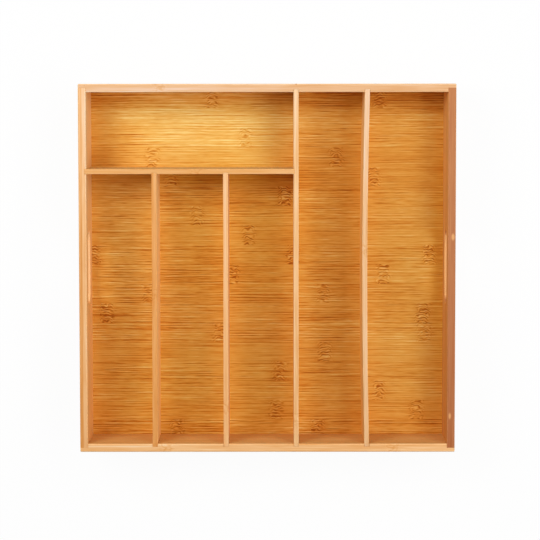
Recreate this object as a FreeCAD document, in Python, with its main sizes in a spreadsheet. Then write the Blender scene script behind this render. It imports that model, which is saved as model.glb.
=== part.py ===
"""Cutlery tray of laminated bamboo: a rabbeted frame, a grooved-in floor and dadoed dividers.

Millimetres. The origin is the middle of the tray's base, +X runs to the right, +Y to the back and +Z up.
Each board is modelled in a frame of its own, with its length along local X or Y, and is then placed.
"""
import os

import FreeCAD
import Part
import Sketcher

# Driving sizes of the tray, in millimetres. Each one is a cell of the document's sheet.
SIZES = {
    # The clear widths of the compartments from the left wall on, and the clear depths of the two rows
    "channel_one": 65.6,
    "channel_two": 67,
    "channel_three": 66.1,
    "channel_four": 66.6,
    "channel_five": 78.7,
    "back_channel": 77.2,
    "front_channel": 274,
    # The frame
    "tray_height": 60,
    "rail_thick": 8.4,
    "wall_thick": 8,
    "rabbet_depth": 4.2,
    "edge_round": 1.2,
    # The hand-holes
    "handle_length": 75,
    "handle_high": 22,
    "handle_below_rim": 13.5,
    "handle_round": 1.5,
    # The floor and its groove
    "floor_thick": 4,
    "floor_rise": 3,
    "groove_depth": 4,
    "groove_play": 0.25,
    "groove_slack": 0.1,
    # The dividers and their dadoes
    "divider_thick": 5,
    "divider_drop": 0.2,
    "divider_round": 0.6,
    "divider_bow": 2.4,
    "rail_dado_depth": 3,
    "wall_dado_depth": 2,
    "long_dado_depth": 1.5,
    "cross_dado_depth": 1.5,
    "dado_play": 0.1,
    "glue_gap": 0.1,
    # The brads
    "brad_diameter": 1.2,
    "brad_length": 20,
    "brad_point": 1.6,
    "brad_point_diameter": 0.3,
    "brad_head_diameter": 2,
    "brad_head_thick": 0.8,
    "brad_sink": 0.3,
    "brad_play": 0.06,
    "brad_low": 15,
    "brad_below_rim": 13,
}

# Divider centre lines: across the tray from its left side, and along it from its front
SHORT_LEFT_X = "(sizes.wall_thick + sizes.channel_one + sizes.divider_thick / 2)"
SHORT_RIGHT_X = f"({SHORT_LEFT_X} + sizes.channel_two + sizes.divider_thick)"
LONG_LEFT_X = f"({SHORT_RIGHT_X} + sizes.channel_three + sizes.divider_thick)"
LONG_RIGHT_X = f"({LONG_LEFT_X} + sizes.channel_four + sizes.divider_thick)"
CROSS_Y = "(sizes.rail_thick + sizes.front_channel + sizes.divider_thick / 2)"

# The frame, which encloses the compartments and the dividers between them
TRAY_WIDTH = f"({LONG_RIGHT_X} + sizes.divider_thick / 2 + sizes.channel_five + sizes.wall_thick)"
TRAY_DEPTH = f"({CROSS_Y} + sizes.divider_thick / 2 + sizes.back_channel + sizes.rail_thick)"
LIP = "(sizes.rail_thick - sizes.rabbet_depth)"
WALL_LENGTH = f"({TRAY_DEPTH} - 2 * {LIP})"

# The floor, and the height of the dividers that stand on it
FLOOR_TOP = "(sizes.floor_rise + sizes.floor_thick)"
GROOVE_HIGH = "(sizes.floor_thick + sizes.groove_slack)"
FLOOR_REACH = "(sizes.groove_depth - sizes.groove_play)"
DIVIDER_HIGH = f"(sizes.tray_height - sizes.divider_drop - {FLOOR_TOP})"

# How far in from the frame's outer faces the ends of the dividers sit
RAIL_SEAT = "(sizes.rail_thick - sizes.rail_dado_depth + sizes.glue_gap)"
WALL_SEAT = "(sizes.wall_thick - sizes.wall_dado_depth + sizes.glue_gap)"

# Divider lengths, from the bottom of one dado to the bottom of the other
LONG_LENGTH = f"({TRAY_DEPTH} - 2 * {RAIL_SEAT})"
SHORT_END = f"({CROSS_Y} - sizes.divider_thick / 2 + sizes.cross_dado_depth - sizes.glue_gap)"
SHORT_LENGTH = f"({SHORT_END} - {RAIL_SEAT})"
CROSS_END = f"({LONG_LEFT_X} - sizes.divider_thick / 2 + sizes.long_dado_depth - sizes.glue_gap)"
CROSS_LENGTH = f"({CROSS_END} - {WALL_SEAT})"

# Dado widths: a bowed divider wanders sideways over the depth of its dado, so its dado is wider by that
DADO_WIDE = "(sizes.divider_thick + 2 * sizes.dado_play)"
BOW_WANDER = f"(4 * sizes.divider_bow * sizes.rail_dado_depth / {LONG_LENGTH})"
BOWED_DADO_WIDE = f"({DADO_WIDE} + 2 * {BOW_WANDER})"

# Centre line and dado width of each divider that a rail carries
BACK_SEATS = ((LONG_LEFT_X, DADO_WIDE), (LONG_RIGHT_X, BOWED_DADO_WIDE))
FRONT_SEATS = ((SHORT_LEFT_X, DADO_WIDE), (SHORT_RIGHT_X, DADO_WIDE)) + BACK_SEATS

# Brads: their places at the corners across the tray, their heights above the base, the holes for their
# shanks and heads, and how far in from the outer face their points lie
CORNER_SPOTS = ("sizes.wall_thick / 2", f"({TRAY_WIDTH} - sizes.wall_thick / 2)")
BRAD_LEVELS = ("sizes.brad_low", "(sizes.tray_height - sizes.brad_below_rim)")
BRAD_HOLE = "(sizes.brad_diameter + 2 * sizes.brad_play)"
BRAD_HEAD_HOLE = "(sizes.brad_head_diameter + 2 * sizes.brad_play)"
BRAD_HEAD_DEPTH = "(sizes.brad_sink + sizes.brad_head_thick + sizes.brad_play)"
BRAD_REACH = "(sizes.brad_sink + sizes.brad_length + sizes.brad_play)"

# Two places are the same when they lie within this share of a board's diagonal
SAME_PLACE_SHARE = 1e-6

# Turns about the vertical, in degrees
QUARTER_TURN = 90
HALF_TURN = 180

UP = FreeCAD.Vector(0, 0, 1)

doc = FreeCAD.newDocument("cutlery_tray")


def make_sheet():
    """Write the driving sizes into the document's sheet, each cell with its alias."""
    sheet = doc.addObject("Spreadsheet::Sheet", "sizes")
    for row, (alias, value) in enumerate(SIZES.items(), start=1):
        sheet.set(f"A{row}", alias)
        sheet.set(f"B{row}", str(value))
        sheet.setAlias(f"B{row}", alias)
    doc.recompute()


def new_body(label):
    """Start an empty body with its own label."""
    body = doc.addObject("PartDesign::Body", label)
    body.Label = label
    return body


def new_sketch(body, name, plane, lift=None):
    """Attach a sketch to one of the body's origin planes, lifted off it along its normal if asked."""
    sketch = body.newObject("Sketcher::SketchObject", f"{body.Label}_{name}_sketch")
    support = next(item for item in body.Origin.OriginFeatures if item.Role == plane)
    sketch.AttachmentSupport = [(support, "")]
    sketch.MapMode = "FlatFace"
    if lift:
        sketch.setExpression("AttachmentOffset.Base.z", lift)
    return sketch


def dimension(sketch, kind, places, drawn, expression):
    """Add one dimension to a sketch, at the value it is drawn with, and bind it to the sheet."""
    index = sketch.addConstraint(Sketcher.Constraint(kind, *places, float(drawn)))
    sketch.setExpression(f"Constraints[{index}]", expression)


def rectangle(sketch, left, low, width, height):
    """Draw a rectangle whose low left corner and sides follow four expressions."""
    first = sketch.GeometryCount
    corners = [FreeCAD.Vector(x, y) for x, y in ((0, 0), (1, 0), (1, 1), (0, 1))]
    for start, end in zip(corners, corners[1:] + corners[:1]):
        sketch.addGeometry(Part.LineSegment(start, end))
    bottom, right, top, back = range(first, first + len(corners))
    for side, following in ((bottom, right), (right, top), (top, back), (back, bottom)):
        sketch.addConstraint(Sketcher.Constraint("Coincident", side, 2, following, 1))
    for side in (bottom, top):
        sketch.addConstraint(Sketcher.Constraint("Horizontal", side))
    for side in (right, back):
        sketch.addConstraint(Sketcher.Constraint("Vertical", side))
    dimension(sketch, "DistanceX", (bottom, 1, bottom, 2), 1, width)
    dimension(sketch, "DistanceY", (right, 1, right, 2), 1, height)
    dimension(sketch, "DistanceX", (-1, 1, bottom, 1), 0, left)
    dimension(sketch, "DistanceY", (-1, 1, bottom, 1), 0, low)


def circle(sketch, across, up, diameter):
    """Draw a circle whose centre and diameter follow three expressions."""
    index = sketch.addGeometry(Part.Circle(FreeCAD.Vector(1, 1), UP, 1))
    dimension(sketch, "DistanceX", (-1, 1, index, 3), 1, across)
    dimension(sketch, "DistanceY", (-1, 1, index, 3), 1, up)
    dimension(sketch, "Diameter", (index,), 2, diameter)


def stadium(sketch, across, up, length, height):
    """Draw the hand-hole: a slot with round ends about its middle, its straight sides along X."""
    radius = SIZES["handle_high"] / 2
    reach = SIZES["handle_length"] / 2 - radius
    middle = FreeCAD.Vector(SIZES["front_channel"], SIZES["tray_height"]) / 2
    aside = FreeCAD.Vector(reach, 0)
    above = FreeCAD.Vector(0, radius)
    right_angle = above.getAngle(aside)
    near_circle = Part.Circle(middle - aside, UP, radius)
    far_circle = Part.Circle(middle + aside, UP, radius)
    top = sketch.addGeometry(Part.LineSegment(middle + aside + above, middle - aside + above))
    near = sketch.addGeometry(Part.ArcOfCircle(near_circle, right_angle, 3 * right_angle))
    bottom = sketch.addGeometry(Part.LineSegment(middle - aside - above, middle + aside - above))
    far = sketch.addGeometry(Part.ArcOfCircle(far_circle, -right_angle, right_angle))
    for side, following in ((top, near), (near, bottom), (bottom, far), (far, top)):
        sketch.addConstraint(Sketcher.Constraint("Tangent", side, 2, following, 1))
    sketch.addConstraint(Sketcher.Constraint("Equal", near, far))
    sketch.addConstraint(Sketcher.Constraint("Horizontal", top))
    dimension(sketch, "Radius", (far,), radius, f"{height} / 2")
    dimension(sketch, "DistanceX", (near, 3, far, 3), 2 * reach, f"{length} - {height}")
    far_across = f"{across} + ({length} - {height}) / 2"
    dimension(sketch, "DistanceX", (-1, 1, far, 3), middle.x + reach, far_across)
    dimension(sketch, "DistanceY", (-1, 1, far, 3), middle.y, up)


def bowed_outline(sketch, length):
    """Draw the plan of a divider that bows towards the sketch's Y between square ends.

    Both faces are the same arc, one thickness apart; its radius follows from the chord and the bow.
    """
    run = SIZES["front_channel"] + SIZES["back_channel"]
    bow = SIZES["divider_bow"]
    thick = SIZES["divider_thick"]
    faces = []
    for level in (0, thick):
        points = ((run, level), (run / 2, level + bow), (0, level))
        arc = Part.Arc(*(FreeCAD.Vector(*point) for point in points))
        faces.append(sketch.addGeometry(arc))
    near, far = faces
    start = sketch.addGeometry(Part.LineSegment(FreeCAD.Vector(0, thick), FreeCAD.Vector(0, 0)))
    end = sketch.addGeometry(Part.LineSegment(FreeCAD.Vector(run, 0), FreeCAD.Vector(run, thick)))
    for meeting in (
        (start, 2, -1, 1),
        (start, 2, near, 2),
        (near, 1, end, 1),
        (end, 2, far, 1),
        (far, 2, start, 1),
    ):
        sketch.addConstraint(Sketcher.Constraint("Coincident", *meeting))
    for side in (start, end):
        sketch.addConstraint(Sketcher.Constraint("Vertical", side))
    for face in faces:
        sketch.addConstraint(Sketcher.Constraint("Horizontal", face, 1, face, 2))
    sketch.addConstraint(Sketcher.Constraint("Equal", near, far))
    dimension(sketch, "DistanceX", (near, 2, near, 1), run, length)
    dimension(sketch, "DistanceY", (end, 1, end, 2), thick, "sizes.divider_thick")
    radius = f"(({length} / 2) ^ 2 + sizes.divider_bow ^ 2) / (2 * sizes.divider_bow)"
    dimension(sketch, "Radius", (near,), sketch.Geometry[near].Radius, radius)


def pad(body, name, sketch, length):
    """Raise a sketch into the board that it outlines."""
    feature = body.newObject("PartDesign::Pad", f"{body.Label}_{name}")
    feature.Profile = sketch
    feature.setExpression("Length", length)
    body.Tip = feature
    doc.recompute()
    return feature


def cut(body, name, sketch, along_normal, depth=None):
    """Cut a sketch out of the board, right through it or to a depth, and see that it takes wood away."""
    before = body.Tip.Shape.Volume
    feature = body.newObject("PartDesign::Pocket", f"{body.Label}_{name}")
    feature.Profile = sketch
    feature.Reversed = along_normal
    if depth:
        feature.Type = "Length"
        feature.setExpression("Length", depth)
    else:
        feature.Type = "ThroughAll"
    body.Tip = feature
    doc.recompute()
    if not feature.Shape.Volume < before:
        raise RuntimeError(f"{feature.Name} cuts nothing")


def round_edges(body, name, wanted, radius):
    """Round the edges of the board whose bounding boxes pass the test."""
    base = body.Tip
    names = [f"Edge{i}" for i, edge in enumerate(base.Shape.Edges, start=1) if wanted(edge.BoundBox)]
    feature = body.newObject("PartDesign::Fillet", f"{body.Label}_{name}")
    feature.Base = (base, names)
    feature.setExpression("Radius", radius)
    body.Tip = feature
    doc.recompute()


def same_place(value, target, box):
    """Tell whether two coordinates on the board that fills the box are one."""
    return abs(value - target) < SAME_PLACE_SHARE * box.DiagonalLength


def place(thing, across, along, up, turn=0):
    """Put a piece where three expressions say, turned about the vertical."""
    thing.Placement = FreeCAD.Placement(FreeCAD.Vector(), FreeCAD.Rotation(UP, turn))
    for axis, expression in zip("xyz", (across, along, up)):
        thing.setExpression(f"Placement.Base.{axis}", expression)


def drill_through(body, plane, spots, outer_lift, heads_along_normal):
    """Drill a frame board for brads at each spot and level, with a seat for each head in the outer face."""
    holes = new_sketch(body, "brad_hole", plane)
    seats = new_sketch(body, "brad_head", plane, outer_lift)
    for spot in spots:
        for level in BRAD_LEVELS:
            circle(holes, spot, level, BRAD_HOLE)
            circle(seats, spot, level, BRAD_HEAD_HOLE)
    cut(body, "brad_holes", holes, not heads_along_normal)
    cut(body, "brad_heads", seats, heads_along_normal, BRAD_HEAD_DEPTH)


def drill_end(body, name, plane, lift, along_normal, across, levels, depth):
    """Drill one end of a board for the points of its brads."""
    holes = new_sketch(body, f"{name}_brad", plane, lift)
    for level in levels:
        circle(holes, across, level, BRAD_HOLE)
    cut(body, f"{name}_brads", holes, along_normal, depth)


def make_rail(label, seats):
    """Make a full-width rail with rabbeted ends, the floor groove and a dado for each divider seated in it.

    Local X runs along it, the inner face is at local Y zero and the outer face at its thickness.
    """
    body = new_body(label)
    outline = new_sketch(body, "board", "XY_Plane")
    rectangle(outline, "0", "0", TRAY_WIDTH, "sizes.rail_thick")
    box = pad(body, "board", outline, "sizes.tray_height").Shape.BoundBox

    def outer_or_level(edge):
        inner_corner = same_place(edge.YMax, box.YMin, box) and same_place(edge.ZLength, box.ZLength, box)
        return not inner_corner

    round_edges(body, "rounds", outer_or_level, "sizes.edge_round")

    rabbets = new_sketch(body, "rabbet", "XY_Plane")
    for left in ("0", f"{TRAY_WIDTH} - sizes.wall_thick"):
        rectangle(rabbets, left, "0", "sizes.wall_thick", "sizes.rabbet_depth")
    cut(body, "rabbets", rabbets, True)

    groove = new_sketch(body, "groove", "YZ_Plane")
    rectangle(groove, "0", "sizes.floor_rise", "sizes.groove_depth", GROOVE_HIGH)
    cut(body, "groove", groove, True)

    dadoes = new_sketch(body, "dado", "XY_Plane")
    for middle, wide in seats:
        rectangle(dadoes, f"{middle} - {wide} / 2", "0", wide, "sizes.rail_dado_depth")
    cut(body, "dadoes", dadoes, True)

    spots = list(CORNER_SPOTS) + [middle for middle, wide in seats]
    drill_through(body, "XZ_Plane", spots, "-sizes.rail_thick", True)
    return body


def make_wall(label, cross_place=None):
    """Make a side wall with the floor groove, a rounded hand-hole and, if given its place, a dado.

    Local Y runs along it, the inner face is at local X zero and the outer face at its thickness.
    """
    body = new_body(label)
    outline = new_sketch(body, "board", "XY_Plane")
    rectangle(outline, "0", "0", "sizes.wall_thick", WALL_LENGTH)
    box = pad(body, "board", outline, "sizes.tray_height").Shape.BoundBox

    def lengthwise(edge):
        return same_place(edge.YLength, box.YLength, box)

    round_edges(body, "rounds", lengthwise, "sizes.edge_round")

    handle = new_sketch(body, "handle", "YZ_Plane")
    handle_up = "sizes.tray_height - sizes.handle_below_rim - sizes.handle_high / 2"
    stadium(handle, f"{WALL_LENGTH} / 2", handle_up, "sizes.handle_length", "sizes.handle_high")
    cut(body, "handle", handle, True)

    def handle_edge(edge):
        flat = same_place(edge.XLength, 0, box)
        at_an_end = same_place(edge.YMin, box.YMin, box) or same_place(edge.YMax, box.YMax, box)
        return flat and not at_an_end

    round_edges(body, "handle_rounds", handle_edge, "sizes.handle_round")

    groove = new_sketch(body, "groove", "XZ_Plane")
    rectangle(groove, "0", "sizes.floor_rise", "sizes.groove_depth", GROOVE_HIGH)
    cut(body, "groove", groove, False)

    middle = "sizes.wall_thick / 2"
    depth = f"{BRAD_REACH} - {LIP}"
    drill_end(body, "near", "XZ_Plane", None, False, middle, BRAD_LEVELS, depth)
    drill_end(body, "far", "XZ_Plane", f"-{WALL_LENGTH}", True, middle, BRAD_LEVELS, depth)

    if cross_place:
        dado = new_sketch(body, "dado", "XY_Plane")
        rectangle(dado, "0", f"{cross_place} - {DADO_WIDE} / 2", "sizes.wall_dado_depth", DADO_WIDE)
        cut(body, "dado", dado, True)
        drill_through(body, "YZ_Plane", [cross_place], "sizes.wall_thick", False)
    return body


def make_floor():
    """Make the floor panel, which reaches into the groove on all four sides."""
    body = new_body("floor_panel")
    outline = new_sketch(body, "panel", "XY_Plane")
    width = f"({TRAY_WIDTH} - 2 * sizes.wall_thick + 2 * {FLOOR_REACH})"
    depth = f"({TRAY_DEPTH} - 2 * sizes.rail_thick + 2 * {FLOOR_REACH})"
    rectangle(outline, f"-{width} / 2", f"-{depth} / 2", width, depth)
    pad(body, "panel", outline, "sizes.floor_thick")
    place(body, "0", "0", "sizes.floor_rise")
    return body


def make_divider(label, length, seat, both_ends=False, bowed=False):
    """Make a divider board with a rounded top and brad holes in the ends that the frame holds.

    Local X runs along it, local Y through its thickness and local Z up from the floor.
    The seat is how far in from the frame's outer face an end sits; brads hold the near end, or both ends.
    """
    body = new_body(label)
    outline = new_sketch(body, "board", "XY_Plane")
    if bowed:
        bowed_outline(outline, length)
    else:
        rectangle(outline, "0", "0", length, "sizes.divider_thick")
    box = pad(body, "board", outline, DIVIDER_HIGH).Shape.BoundBox

    def top_edge(edge):
        return same_place(edge.XLength, box.XLength, box) and same_place(edge.ZMin, box.ZMax, box)

    round_edges(body, "top", top_edge, "sizes.divider_round")

    middle = "sizes.divider_thick / 2"
    levels = [f"{level} - {FLOOR_TOP}" for level in BRAD_LEVELS]
    depth = f"{BRAD_REACH} - {seat}"
    drill_end(body, "near", "YZ_Plane", None, True, middle, levels, depth)
    if both_ends:
        drill_end(body, "far", "YZ_Plane", length, False, middle, levels, depth)
    return body


def cut_divider_dadoes(body, spots, low, depth):
    """Cut open-topped dadoes into one face of a divider, for the dividers that meet it."""
    dadoes = new_sketch(body, "dado", "XY_Plane")
    for spot in spots:
        rectangle(dadoes, f"{spot} - {DADO_WIDE} / 2", low, DADO_WIDE, depth)
    cut(body, "dadoes", dadoes, True)


def make_brad():
    """Make the brad that all the others repeat: a head, a shank and a point along +Z, head at zero."""
    head = doc.addObject("Part::Cylinder", "brad_head")
    head.setExpression("Radius", "sizes.brad_head_diameter / 2")
    head.setExpression("Height", "sizes.brad_head_thick")
    shank = doc.addObject("Part::Cylinder", "brad_shank")
    shank.setExpression("Radius", "sizes.brad_diameter / 2")
    shank.setExpression("Height", "sizes.brad_length - sizes.brad_point")
    point = doc.addObject("Part::Cone", "brad_point")
    point.setExpression("Radius1", "sizes.brad_diameter / 2")
    point.setExpression("Radius2", "sizes.brad_point_diameter / 2")
    point.setExpression("Height", "sizes.brad_point")
    point.setExpression("Placement.Base.z", "sizes.brad_length - sizes.brad_point")
    brad = doc.addObject("Part::MultiFuse", "brad")
    brad.Shapes = [head, shank, point]
    brad.Refine = True
    doc.recompute()
    return brad


def drive(brad, across, along, level, direction):
    """Repeat the brad with its head where three expressions say, driven along a direction."""
    driven = doc.addObject("App::Link", "driven_brad")
    driven.LinkedObject = brad
    driven.Placement = FreeCAD.Placement(FreeCAD.Vector(), FreeCAD.Rotation(UP, direction))
    for axis, expression in zip("xyz", (across, along, level)):
        driven.setExpression(f"Placement.Base.{axis}", expression)
    return driven


def group_brads(label, brads):
    """Keep a set of driven brads as one sub-part of separate solids."""
    group = doc.addObject("Part::Compound", label)
    group.Label = label
    group.Links = brads
    doc.recompute()
    return group


def make_frame():
    """Make and place the two rails and the two side walls."""
    back = make_rail("back_rail", BACK_SEATS)
    place(back, f"-{TRAY_WIDTH} / 2", f"{TRAY_DEPTH} / 2 - sizes.rail_thick", "0")

    turned_seats = [(f"({TRAY_WIDTH} - {middle})", wide) for middle, wide in FRONT_SEATS]
    front = make_rail("front_rail", turned_seats)
    place(front, f"{TRAY_WIDTH} / 2", f"sizes.rail_thick - {TRAY_DEPTH} / 2", "0", HALF_TURN)

    turned_cross = f"({TRAY_DEPTH} - {LIP} - {CROSS_Y})"
    left = make_wall("left_wall", turned_cross)
    place(left, f"sizes.wall_thick - {TRAY_WIDTH} / 2", f"{WALL_LENGTH} / 2", "0", HALF_TURN)

    right = make_wall("right_wall")
    place(right, f"{TRAY_WIDTH} / 2 - sizes.wall_thick", f"-{WALL_LENGTH} / 2", "0")
    return [back, front, left, right]


def make_dividers():
    """Make and place the five dividers on the floor panel."""
    long_left = make_divider("long_divider_left", LONG_LENGTH, RAIL_SEAT, both_ends=True)
    long_dado_low = "sizes.divider_thick - sizes.long_dado_depth"
    cut_divider_dadoes(long_left, [f"{CROSS_Y} - {RAIL_SEAT}"], long_dado_low, "sizes.long_dado_depth")
    long_right = make_divider("long_divider_right", LONG_LENGTH, RAIL_SEAT, both_ends=True, bowed=True)
    cross = make_divider("cross_divider", CROSS_LENGTH, WALL_SEAT)
    cross_spots = [f"{middle} - {WALL_SEAT}" for middle in (SHORT_LEFT_X, SHORT_RIGHT_X)]
    cut_divider_dadoes(cross, cross_spots, "0", "sizes.cross_dado_depth")
    short_left = make_divider("short_divider_left", SHORT_LENGTH, RAIL_SEAT)
    short_right = make_divider("short_divider_right", SHORT_LENGTH, RAIL_SEAT)

    lengthwise = (
        (long_left, LONG_LEFT_X),
        (long_right, LONG_RIGHT_X),
        (short_left, SHORT_LEFT_X),
        (short_right, SHORT_RIGHT_X),
    )
    for body, middle in lengthwise:
        across = f"{middle} + sizes.divider_thick / 2 - {TRAY_WIDTH} / 2"
        place(body, across, f"{RAIL_SEAT} - {TRAY_DEPTH} / 2", FLOOR_TOP, QUARTER_TURN)
    cross_along = f"{CROSS_Y} - sizes.divider_thick / 2 - {TRAY_DEPTH} / 2"
    place(cross, f"{WALL_SEAT} - {TRAY_WIDTH} / 2", cross_along, FLOOR_TOP)
    return [long_left, long_right, cross, short_left, short_right]


def make_brads():
    """Drive the brads: through the rails into the walls' ends, and through the frame into the dividers."""
    brad = make_brad()
    forwards = FreeCAD.Vector(0, -1, 0)
    backwards = FreeCAD.Vector(0, 1, 0)
    rightwards = FreeCAD.Vector(1, 0, 0)
    back_face = f"{TRAY_DEPTH} / 2 - sizes.brad_sink"
    front_face = f"sizes.brad_sink - {TRAY_DEPTH} / 2"
    left_face = f"sizes.brad_sink - {TRAY_WIDTH} / 2"

    def row(spots, face, direction):
        return [
            drive(brad, f"{spot} - {TRAY_WIDTH} / 2", face, level, direction)
            for spot in spots
            for level in BRAD_LEVELS
        ]

    corner_brads = row(CORNER_SPOTS, back_face, forwards) + row(CORNER_SPOTS, front_face, backwards)
    divider_brads = row([middle for middle, wide in BACK_SEATS], back_face, forwards)
    divider_brads += row([middle for middle, wide in FRONT_SEATS], front_face, backwards)
    cross_along = f"{CROSS_Y} - {TRAY_DEPTH} / 2"
    divider_brads += [drive(brad, left_face, cross_along, level, rightwards) for level in BRAD_LEVELS]
    return [group_brads("corner_brads", corner_brads), group_brads("divider_brads", divider_brads)]


def write_parts(sub_parts):
    """See that the document is sound, then write each sub-part to a file named after its label."""
    doc.recompute()
    for item in doc.Objects:
        faults = [state for state in item.State if state in ("Invalid", "Error")]
        if faults:
            raise RuntimeError(f"{item.Name} is {faults}")
        if item.isDerivedFrom("Sketcher::SketchObject") and not item.FullyConstrained:
            raise RuntimeError(f"{item.Name} is not fully constrained")
    os.makedirs("parts", exist_ok=True)
    for item in sub_parts:
        if item.Shape.isNull() or not item.Shape.isValid():
            raise RuntimeError(f"{item.Label} has no valid shape")
        item.Shape.exportStep(f"parts/{item.Label}.step")
        print(f"{item.Label}: {len(item.Shape.Solids)} solids, {item.Shape.Volume:.1f} cubic millimetres")


make_sheet()
write_parts(make_frame() + [make_floor()] + make_dividers() + make_brads())
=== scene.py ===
# %% [markdown]
# # A bamboo cutlery tray, dressed for its picture
# The tray is ten bamboo boards and two sets of steel brads. All of them come finished from the CAD model,
# in metres, each already standing in its place, so no shape is made twice: this lesson is about the wood.
# Every board keeps its CAD mesh and gets a bamboo of its own, built from a few node groups that know how
# bamboo grows.

# %% Load the boards
import math

import bpy
import numpy as np
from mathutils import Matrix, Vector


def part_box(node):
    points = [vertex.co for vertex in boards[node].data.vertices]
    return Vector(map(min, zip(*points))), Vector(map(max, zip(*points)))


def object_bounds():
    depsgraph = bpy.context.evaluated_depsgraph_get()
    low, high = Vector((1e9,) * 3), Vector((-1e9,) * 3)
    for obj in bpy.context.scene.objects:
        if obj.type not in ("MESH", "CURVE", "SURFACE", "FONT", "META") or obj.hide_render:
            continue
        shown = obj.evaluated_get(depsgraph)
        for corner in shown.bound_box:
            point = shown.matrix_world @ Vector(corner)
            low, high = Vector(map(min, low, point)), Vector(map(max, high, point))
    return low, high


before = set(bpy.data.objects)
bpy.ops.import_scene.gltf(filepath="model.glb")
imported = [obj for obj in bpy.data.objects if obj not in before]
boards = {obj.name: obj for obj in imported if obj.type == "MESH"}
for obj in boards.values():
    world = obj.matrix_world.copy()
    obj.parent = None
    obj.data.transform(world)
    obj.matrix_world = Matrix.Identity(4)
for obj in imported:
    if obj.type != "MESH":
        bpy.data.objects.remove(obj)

MM = 0.001
cad_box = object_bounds()
print(len(boards), "nodes, box in mm:", [[round(c / MM, 1) for c in corner] for corner in cad_box])

# %% [markdown]
# ## A short way to write nodes
# A procedural wood needs dozens of small nodes. Written out in full, each takes five lines, and the idea
# drowns. A few helpers keep every node on one line: one adds a node and fills its sockets, one adds a Math
# node, one a Vector Math node, and one makes a soft step between two numbers.

# %% Helpers for nodes
def put(tree, kind, sockets=None, **settings):
    """Adds a shader node, sets its properties, then links or fills each named socket."""
    made = tree.nodes.new("ShaderNode" + kind)
    for name, value in settings.items():
        setattr(made, name, value)
    for name, value in (sockets or {}).items():
        if isinstance(value, bpy.types.NodeSocket):
            tree.links.new(value, made.inputs[name])
        else:
            made.inputs[name].default_value = value
    return made


def calc(tree, operation, first, second=0.0, third=0.0):
    """One Math node: first, second and third go in, one number comes out."""
    return put(tree, "Math", {0: first, 1: second, 2: third}, operation=operation).outputs[0]


def vector(tree, operation, first, second=(0.0, 0.0, 0.0)):
    """One Vector Math node that gives a vector."""
    return put(tree, "VectorMath", {0: first, 1: second}, operation=operation).outputs[0]


def soft_step(tree, value, start, end):
    """Rises smoothly from 0 at start to 1 at end, also where end is the smaller one of the two."""
    sockets = {"Value": value, "From Min": start, "From Max": end}
    return put(tree, "MapRange", sockets, interpolation_type="SMOOTHSTEP").outputs[0]


print("helpers for nodes: put, calc, vector and soft_step")

# %% [markdown]
# ## Node groups
# All the boards share the same ways of growing, so each way is a node group: built once, and placed in
# every material with that board's own values. A group is opened with the names of what goes in and what
# comes out, and closed by linking what was worked out to those names.

# %% Helpers for node groups
def open_group(name, inputs, outputs):
    """Starts a node group with named sockets, and gives its tree, what goes in and what comes out."""
    tree = bpy.data.node_groups.new(name, "ShaderNodeTree")
    for side, sockets in (("INPUT", inputs), ("OUTPUT", outputs)):
        for socket, kind in sockets.items():
            tree.interface.new_socket(socket, in_out=side, socket_type="NodeSocket" + kind)
    return tree, tree.nodes.new("NodeGroupInput").outputs, tree.nodes.new("NodeGroupOutput").inputs


def close_group(tree, result, values):
    """Links the finished values to the group's outputs."""
    for socket, value in values.items():
        tree.links.new(value, result[socket])
    print(tree.name, "has", len(tree.nodes), "nodes and gives", ", ".join(values))


print("helpers for node groups: open_group and close_group")

# %% [markdown]
# ## Strips: how a bamboo board is put together
# A bamboo stem is a thin tube, so no wide board can be sawn from it. The tube is split and planed into
# strips about 20 mm wide, and these are glued edge to edge. Each strip has its own tone, and the glue seam
# shows as a fine line that comes and goes. A brick texture could draw it, but a plain division is clearer:
# the whole part counts the strip, and the rest says how far across it we are. Every group here reads a
# place as (along the grain, across the strips, through the board).

# %% The group bamboo_strips
MIDDLE = 0.5
SEAM_WIDTH = 0.8 * MM
SEAM_FADE_LENGTH = 70 * MM
SEAM_FADE_DETAIL = 2.0
SEAM_SHOWS = (0.42, 0.62)
strips, given, result = open_group(
    "bamboo_strips",
    {"Place": "Vector", "Width": "Float", "First Seam": "Float", "Seed": "Float"},
    {"Strip": "Float", "Tone": "Float", "Contrast": "Float", "Seam": "Float"},
)
place = put(strips, "SeparateXYZ", {"Vector": given["Place"]}).outputs
from_first = calc(strips, "SUBTRACT", place[1], given["First Seam"])
counted = calc(strips, "DIVIDE", from_first, given["Width"])
strip = calc(strips, "FLOOR", counted)
dice = put(strips, "CombineXYZ", {0: strip, 1: given["Seed"]}).outputs[0]
drawn = put(strips, "TexWhiteNoise", {"Vector": dice}, noise_dimensions="2D").outputs
off_middle = calc(strips, "ABSOLUTE", calc(strips, "SUBTRACT", calc(strips, "FRACT", counted), MIDDLE))
to_seam = calc(strips, "MULTIPLY", calc(strips, "SUBTRACT", MIDDLE, off_middle), given["Width"])
seam_line = soft_step(strips, to_seam, SEAM_WIDTH, 0.0)
along_seam = calc(strips, "DIVIDE", place[0], SEAM_FADE_LENGTH)
seam_number = calc(strips, "ROUND", counted)
seam_place = put(strips, "CombineXYZ", {0: along_seam, 1: seam_number, 2: given["Seed"]}).outputs[0]
sockets = {"Vector": seam_place, "Scale": 1.0, "Detail": SEAM_FADE_DETAIL}
fading = put(strips, "TexNoise", sockets).outputs[0]
close_group(strips, result, {
    "Strip": strip,
    "Tone": drawn["Value"],
    "Contrast": put(strips, "SeparateColor", {0: drawn["Color"]}).outputs[1],
    "Seam": calc(strips, "MULTIPLY", seam_line, soft_step(strips, fading, *SEAM_SHOWS)),
})

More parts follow.
